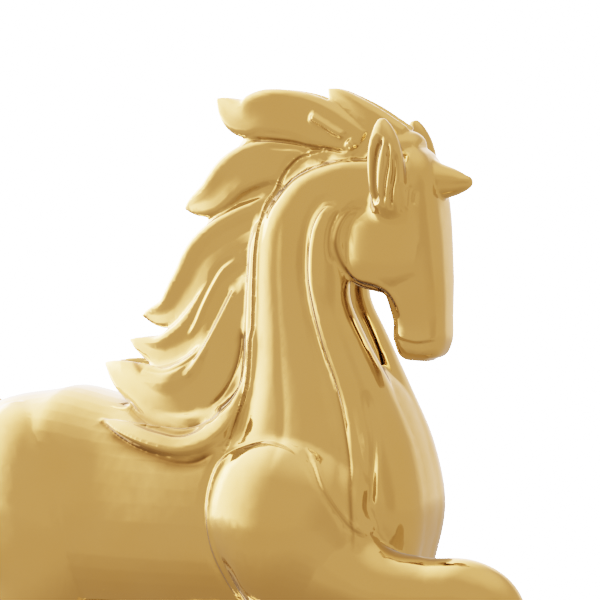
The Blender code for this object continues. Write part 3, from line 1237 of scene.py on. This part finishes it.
@dataclass
class Sculpture:
    """The whole cast piece: figure and plinth joined in one skin, cut with strokes and glazed.

    The margin is the plinth's past the soles. On the grid, shade is painted into a crease where smoothing
    lifts the skin by the first crease lift and is darkest at the second, and facets stay fine within the fine
    reach of each stroke that is deeper than faint.
    """

    trunk: Trunk = field(default_factory=Trunk)
    neck: Neck = field(default_factory=Neck)
    head: Head = field(default_factory=Head)
    mane: Mane = field(default_factory=Mane)
    tail: Tail = field(default_factory=Tail)
    legs: Legs = field(default_factory=Legs)
    glaze: GoldGlaze = field(default_factory=GoldGlaze)
    margin: float = 0.013
    voxel: float = 0.0005
    quick_voxel: float = 0.0016
    smooth_passes: int = 10
    smooth_factor: float = 0.5
    fill_passes: int = 150
    fill_gain: float = 1.6
    fill_levels: int = 10
    polish_passes: int = 3
    crease_passes: int = 8
    # The painted shade in creases: the lift span over which it darkens, and its darkest share.
    crease_lift: Span = (0.16, 0.60)
    crease_shade_most: float = 0.4
    mask_passes: int = 6
    fine_reach: float = 1.1
    faint: float = 0.15
    triangles: int = 196000

    def parts(self) -> tuple[Part, ...]:
        """Gives the figure's parts."""
        return self.trunk, self.neck, self.head, self.mane, self.tail, self.legs

    def footprint(self) -> tuple[float, float, float]:
        """Works out the plinth's reach from the standing hooves and the margin.

        Returns:
            Its lowest and highest x, with the grid's origin at 0, and its half width.
        """
        legs = self.legs
        soles = [legs.hind_rows(side)[-1] for side in BOTH]
        soles.append(legs.standing(legs.standing_foreleg.rows())[-1])
        low = min(x - depth for x, _, _, depth, _ in soles) * UNIT - self.margin
        high = max(x + depth for x, _, _, depth, _ in soles) * UNIT + self.margin
        half_width = max(y + width for _, y, _, _, width in soles) * UNIT + self.margin
        return low, high, half_width

    def build(self) -> bpy.types.Object:
        """Builds the skin.

        Returns:
            The finished object, which stands for the solid.
        """
        low, high, half_width = self.footprint()
        placed = Placing(-(low + high) / 2)
        clay = Clay()
        for part in self.parts():
            for form, rows, sides in part.forms():
                for side in sides:
                    clay.loft(form, rows, side, placed)
        clay.add_rings(Plinth((high - low) / 2, half_width).rings())
        horse = bpy.data.objects.new("horse_skin", clay.mesh("horse_clay"))
        bpy.context.scene.collection.objects.link(horse)
        self.make_skin(horse)
        self.smooth_over(horse, placed)
        self.carve(horse, placed)
        self.mark_creases(horse, placed)
        self.lighten(horse)
        self.keep_in_box(horse)
        return horse

    def apply(self, horse: bpy.types.Object) -> None:
        """Makes the object's modifiers part of its mesh.

        Args:
            horse: The object.
        """
        bpy.context.view_layer.update()
        evaluated = horse.evaluated_get(bpy.context.evaluated_depsgraph_get())
        mesh = bpy.data.meshes.new_from_object(evaluated)
        horse.modifiers.clear()
        old = horse.data
        horse.data = mesh
        bpy.data.meshes.remove(old)

    def make_skin(self, horse: bpy.types.Object) -> None:
        """Joins the overlapping forms and softens where they meet, as glaze does.

        Args:
            horse: The object whose mesh holds the forms.
        """
        remesh = horse.modifiers.new("one_skin", "REMESH")
        remesh.mode = "VOXEL"
        remesh.voxel_size = self.voxel
        soften = horse.modifiers.new("soften", "SMOOTH")
        soften.factor = self.smooth_factor
        soften.iterations = self.smooth_passes
        self.apply(horse)

    def strokes(self) -> Iterator[tuple[Stroke, Side]]:
        """Gives every stroke of every part, once for each side."""
        for part in self.parts():
            for stroke in part.strokes():
                for side in stroke.sides:
                    yield stroke, side

    def smooth_over(self, horse: bpy.types.Object, placed: Placing) -> None:
        """Fills the rough valleys between forms, where strokes then cut their own finer shape.

        Args:
            horse: The object whose mesh is smoothed.
            placed: Where the grid is.
        """
        points, normals = read_skin(horse.data)
        grid = placed.grid(points)
        weights = np.zeros(len(grid))
        for stroke, side in self.strokes():
            if stroke.fill:
                near = near_stroke(stroke, side, stroke.fill, grid, normals)
                weight = np.clip(self.fill_gain * (1 - near.gap / stroke.fill), 0, 1)
                weights[near.found] = np.maximum(weights[near.found], weight)
        group = horse.vertex_groups.new(name="filled")
        for level in range(1, self.fill_levels + 1):
            chosen = np.flatnonzero(np.round(weights * self.fill_levels) == level)
            group.add(chosen.tolist(), level / self.fill_levels, "REPLACE")
        fill = horse.modifiers.new("fill", "SMOOTH")
        fill.vertex_group = group.name
        fill.factor = self.smooth_factor
        fill.iterations = self.fill_passes
        self.apply(horse)

    def carve(self, horse: bpy.types.Object, placed: Placing) -> None:
        """Cuts every stroke into the skin.

        Args:
            horse: The object whose mesh is cut.
            placed: Where the grid is.
        """
        mesh = horse.data
        points, normals = read_skin(mesh)
        grid = placed.grid(points)
        moved = np.zeros(len(grid))
        for stroke, side in self.strokes():
            moved += stroke_depths(stroke, side, grid, normals)
        points += normals * (moved * UNIT)[:, None]
        mesh.vertices.foreach_set("co", points.astype(np.float32).ravel())
        mesh.update()
        polish = horse.modifiers.new("polish", "SMOOTH")
        polish.factor = self.smooth_factor
        polish.iterations = self.polish_passes
        self.apply(horse)

    def pooled_tone_and_painted_shade(self, grid: np.ndarray, normals: np.ndarray) -> np.ndarray:
        """Works out how dark shade is painted into the glaze along the strokes, in creases, hollows and under
        edges.

        Args:
            grid: The skin's points on the grid.
            normals: Their normals.

        Returns:
            A share from 0 to 1 for each point.
        """
        shares = np.zeros(len(grid))
        # Painted shade along the strokes, darkest on their lines.
        for stroke, side in self.strokes():
            if stroke.pool:
                near = near_stroke(stroke, side, PAINTED_SHADE_REACH * stroke.painted_shade_width, grid, normals)
                share = stroke.pool * np.exp(-((near.gap / stroke.painted_shade_width) ** 2)) * near.fade()
                shares[near.found] = np.maximum(shares[near.found], share)
        return shares

    def mark_creases(self, horse: bpy.types.Object, placed: Placing) -> None:
        """Keeps how much shade is painted on each point: where smoothing lifts it off the skin in a crease,
        and along the strokes that paint shade in hollows and under edges.

        Args:
            horse: The object whose mesh is marked.
            placed: Where the grid is.
        """
        mesh = horse.data
        points, normals = read_skin(mesh)
        edges = np.empty(len(mesh.edges) * 2, np.int32)
        mesh.edges.foreach_get("vertices", edges)
        edges = edges.reshape(-1, 2)
        # Painted shade in creases: the more smoothing lifts a point off the skin, the darker it is painted.
        lift = ((eased(points, edges, self.crease_passes) - points) * normals).sum(axis=1) / UNIT
        mask = np.clip((lift - self.crease_lift[0]) / (self.crease_lift[1] - self.crease_lift[0]), 0, 1)
        mask = eased(mask[:, None], edges, self.mask_passes)[:, 0] * self.crease_shade_most
        grid = placed.grid(points)
        # Adds the shade painted along the strokes.
        mask = np.maximum(mask, self.pooled_tone_and_painted_shade(grid, normals))
        fine = np.zeros(len(points), bool)
        for stroke, side in self.strokes():
            if stroke.depth > self.faint:
                near = near_stroke(stroke, side, self.fine_reach, grid, normals)
                fine[near.found[near.gap < self.fine_reach]] = True
        group = horse.vertex_groups.new(name="finely_cut")
        group.add(np.flatnonzero(fine).tolist(), 1.0, "REPLACE")
        # The painted shade mask, which the glaze reads to paint creases, hollows and undersides dark.
        kept = mesh.attributes.new("painted_shade_mask", "FLOAT", "POINT")
        kept.data.foreach_set("value", mask.astype(np.float32))

    def lighten(self, horse: bpy.types.Object) -> None:
        """Lowers the number of triangles and keeps the dense skin's shading on them.

        Args:
            horse: The object whose mesh is lightened.
        """
        dense = horse.data.copy()
        facets = horse.modifiers.new("facets", "DECIMATE")
        dense.calc_loop_triangles()
        facets.ratio = min(1.0, self.triangles / len(dense.loop_triangles))
        facets.use_collapse_triangulate = True
        facets.vertex_group = "finely_cut"
        facets.invert_vertex_group = True
        self.apply(horse)
        tree = KDTree(len(dense.vertices))
        for vertex in dense.vertices:
            tree.insert(vertex.co, vertex.index)
        tree.balance()
        horse.data.shade_smooth()
        nearest = (tree.find(vertex.co)[1] for vertex in horse.data.vertices)
        normals = [dense.vertex_normals[index].vector.copy() for index in nearest]
        horse.data.normals_split_custom_set_from_vertices(normals)
        bpy.data.meshes.remove(dense)

    def keep_in_box(self, horse: bpy.types.Object) -> None:
        """Holds the skin within the solid's box.

        Args:
            horse: The object whose points are held.
        """
        mesh = horse.data
        points, _ = read_skin(mesh)
        points = np.clip(points, np.array(cad_box[0]), np.array(cad_box[1]))
        mesh.vertices.foreach_set("co", points.astype(np.float32).ravel())
        mesh.update()

    def dress(self, horse: bpy.types.Object) -> None:
        """Glazes the skin and ties it to the frame.

        Args:
            horse: The finished skin.
        """
        horse.data.materials.clear()
        horse.data.materials.append(self.glaze.material())
        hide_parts("horse_sculpture")
        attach(horse, "root")


@dataclass(frozen=True)
class Studio:
    """The plain white studio: the floor, the soft light round the set, and the camera.

    Turns are degrees to the left of the camera. A light's span gives the cosines off its direction at
    which it starts and is full, and its level is added to the base level. Near the figure the floor is
    mirrored as one of the shade levels, and from the open reach on as the room's own light.
    """

    floor_radius: float = 12.0
    floor_sides: int = 96
    floor_roughness: float = 0.9
    floor_colour: Colour = (0.92, 0.915, 0.90, 1.0)
    figure_middle: GridPoint = (0.0, 0.0, 0.17)
    shade_reach: Span = (0.05, 0.5)
    shade_levels: Span = (0.38, 0.56)
    open_reach: Span = (0.4, 3.0)
    floor_light: float = 52.0
    floor_light_angle: float = 70.0
    floor_light_height: float = 2.0
    light_colour: Colour = (1.0, 0.95, 0.95, 1.0)
    backdrop_strength: float = 16.0
    base_level: float = 0.60
    window_turn: float = 135.0
    window_height: float = 0.12
    window_span: Span = (0.14, 0.92)
    window: float = 2.8
    core_span: Span = (0.80, 0.985)
    core: float = 5.0
    rim_turn: float = -158.0
    rim_span: Span = (0.68, 1.0)
    rim: float = 0.55
    overhead_span: Span = (0.55, 1.0)
    overhead: float = 0.35
    dusk_turn: float = -12.0
    dusk_span: Span = (0.82, 1.0)
    dusk: float = -0.10
    target: GridPoint = (0.047, 0.0, 0.2544)
    distance: float = 0.9
    azimuth: float = 25.0
    elevation: float = 3.0
    view_width: float = 0.228
    sensor: float = 36.0

    def floor(self, room_light: bpy.types.ShaderNodeTree) -> bpy.types.Object:
        """Lays the pale floor, which the glaze mirrors as the room's own light, shaded near the figure.

        Args:
            room_light: The group that gives the room's light.

        Returns:
            A wide disc at z = 0.
        """
        turns = 2 * np.pi * np.arange(self.floor_sides) / self.floor_sides
        rim = [(self.floor_radius * math.cos(t), self.floor_radius * math.sin(t), 0.0) for t in turns]
        mesh = bpy.data.meshes.new("studio_floor")
        mesh.from_pydata(rim, [], [list(range(self.floor_sides))])
        floor = bpy.data.objects.new("studio_floor", mesh)
        bpy.context.scene.collection.objects.link(floor)
        paint = bpy.data.materials.new("studio_white")
        paint.use_nodes = True
        nodes, links = paint.node_tree.nodes, paint.node_tree.links
        shader = nodes["Principled BSDF"]
        shader.inputs["Base Color"].default_value = self.floor_colour
        shader.inputs["Roughness"].default_value = self.floor_roughness
        shader.inputs["Specular IOR Level"].default_value = 0.0
        even = nodes.new("ShaderNodeEmission")
        even.inputs["Color"].default_value = self.light_colour
        place = nodes.new("ShaderNodeNewGeometry")
        off = nodes.new("ShaderNodeVectorMath")
        off.operation = "SUBTRACT"
        off.inputs[1].default_value = self.figure_middle
        links.new(place.outputs["Position"], off.inputs[0])
        heading = nodes.new("ShaderNodeVectorMath")
        heading.operation = "NORMALIZE"
        links.new(off.outputs["Vector"], heading.inputs[0])
        level = nodes.new("ShaderNodeGroup")
        level.node_tree = room_light
        links.new(heading.outputs["Vector"], level.inputs["Direction"])
        away = nodes.new("ShaderNodeVectorMath")
        away.operation = "LENGTH"
        links.new(place.outputs["Position"], away.inputs[0])
        shade = ramp(paint.node_tree, away.outputs["Value"], self.shade_reach, self.shade_levels)
        openness = ramp(paint.node_tree, away.outputs["Value"], self.open_reach, (0.0, 1.0))
        mirrored = nodes.new("ShaderNodeMix")
        links.new(openness, mirrored.inputs["Factor"])
        links.new(shade, mirrored.inputs["A"])
        links.new(level.outputs["Level"], mirrored.inputs["B"])
        links.new(mirrored.outputs["Result"], even.inputs["Strength"])
        glow = even.outputs["Emission"]
        surface = ray_switch(paint.node_tree, "Is Glossy Ray", shader.outputs["BSDF"], glow)
        links.new(surface, nodes["Material Output"].inputs["Surface"])
        mesh.materials.append(paint)
        return floor

    def toward(self) -> Vector:
        """Gives the direction from the target to the camera."""
        a, e = math.radians(self.azimuth), math.radians(self.elevation)
        return Vector((math.sin(a) * math.cos(e), -math.cos(a) * math.cos(e), math.sin(e)))

    def around(self, turn: float) -> Vector:
        """Gives the level direction that lies the given degrees to the left of the camera's."""
        a = math.radians(self.azimuth - turn)
        return Vector((math.sin(a), -math.cos(a), 0.0))

    def camera(self) -> bpy.types.Object:
        """Sets the camera at the photograph's angle.

        Returns:
            The camera, made the scene's own.
        """
        data = bpy.data.cameras.new("photo_camera")
        data.sensor_width = self.sensor
        data.lens = self.sensor * self.distance / self.view_width
        camera = bpy.data.objects.new("photo_camera", data)
        bpy.context.scene.collection.objects.link(camera)
        camera.location = Vector(self.target) + self.toward() * self.distance
        camera.rotation_mode = "QUATERNION"
        camera.rotation_quaternion = (-self.toward()).to_track_quat("-Z", "Y")
        bpy.context.scene.camera = camera
        return camera

    def room_light(self) -> bpy.types.ShaderNodeTree:
        """Builds the light of the room: a wide window behind the set at the left, and dusk by the camera.

        Returns:
            A node group with Direction in, and Level out.
        """
        group = bpy.data.node_groups.new("room_light", "ShaderNodeTree")
        group.interface.new_socket("Direction", in_out="INPUT", socket_type="NodeSocketVector")
        group.interface.new_socket("Level", in_out="OUTPUT", socket_type="NodeSocketFloat")
        nodes, links = group.nodes, group.links
        source = nodes.new("NodeGroupInput")
        out = nodes.new("NodeGroupOutput")
        window = (self.around(self.window_turn) + Vector((0, 0, self.window_height))).normalized()
        lights = (
            (window, self.window_span, (self.base_level, self.base_level + self.window)),
            (window, self.core_span, (0.0, self.core)),
            (self.around(self.rim_turn), self.rim_span, (0.0, self.rim)),
            (Vector((0, 0, 1)), self.overhead_span, (0.0, self.overhead)),
            (self.around(self.dusk_turn), self.dusk_span, (0.0, self.dusk)),
        )
        total = None
        for direction, span, levels in lights:
            facing = nodes.new("ShaderNodeVectorMath")
            facing.operation = "DOT_PRODUCT"
            facing.inputs[1].default_value = direction
            links.new(source.outputs["Direction"], facing.inputs[0])
            level = ramp(group, facing.outputs["Value"], span, levels)
            if total is None:
                total = level
                continue
            both = nodes.new("ShaderNodeMath")
            both.operation = "ADD"
            links.new(total, both.inputs[0])
            links.new(level, both.inputs[1])
            total = both.outputs["Value"]
        links.new(total, out.inputs["Level"])
        return group

    def surroundings(self, room_light: bpy.types.ShaderNodeTree) -> None:
        """Builds the soft light round the set, which the camera itself sees as plain white.

        Args:
            room_light: The group that gives the room's light.
        """
        world = bpy.data.worlds.new("studio")
        bpy.context.scene.world = world
        world.use_nodes = True
        tree = world.node_tree
        nodes, links = tree.nodes, tree.links
        nodes.clear()
        out = nodes.new("ShaderNodeOutputWorld")
        place = nodes.new("ShaderNodeTexCoord")
        level = nodes.new("ShaderNodeGroup")
        level.node_tree = room_light
        links.new(place.outputs["Generated"], level.inputs["Direction"])
        light = nodes.new("ShaderNodeBackground")
        light.inputs["Color"].default_value = self.light_colour
        links.new(level.outputs["Level"], light.inputs["Strength"])
        seen = nodes.new("ShaderNodeBackground")
        seen.inputs["Strength"].default_value = self.backdrop_strength
        seen.inputs["Color"].default_value = (1.0, 1.0, 1.0, 1.0)
        surface = ray_switch(tree, "Is Camera Ray", light.outputs["Background"], seen.outputs["Background"])
        links.new(surface, out.inputs["Surface"])

    def sky_panel(self) -> bpy.types.Object:
        """Hangs the wide, soft overhead light that lights the floor and that the glaze doesn't mirror.

        Returns:
            The light.
        """
        data = bpy.data.lights.new("sky_panel", "SUN")
        data.energy = self.floor_light
        data.angle = math.radians(self.floor_light_angle)
        light = bpy.data.objects.new("sky_panel", data)
        bpy.context.scene.collection.objects.link(light)
        light.location = (0.0, 0.0, self.floor_light_height)
        light.visible_glossy = False
        return light

    def build(self) -> None:
        """Sets up the whole studio."""
        view = bpy.context.scene.view_settings
        view.view_transform = "Filmic"
        view.look = "High Contrast"
        room_light = self.room_light()
        self.floor(room_light)
        self.surroundings(room_light)
        self.sky_panel()
        self.camera()


def main() -> None:
    """Builds the sculpture and its studio."""
    logging.basicConfig(level=logging.INFO, format="%(name)s: %(message)s")
    sculpture = Sculpture()
    horse = sculpture.build()
    sculpture.dress(horse)
    horse.data.calc_loop_triangles()
    log.info("%s: %d triangles", horse.name, len(horse.data.loop_triangles))
    Studio().build()


if __name__ == "__main__":
    main()
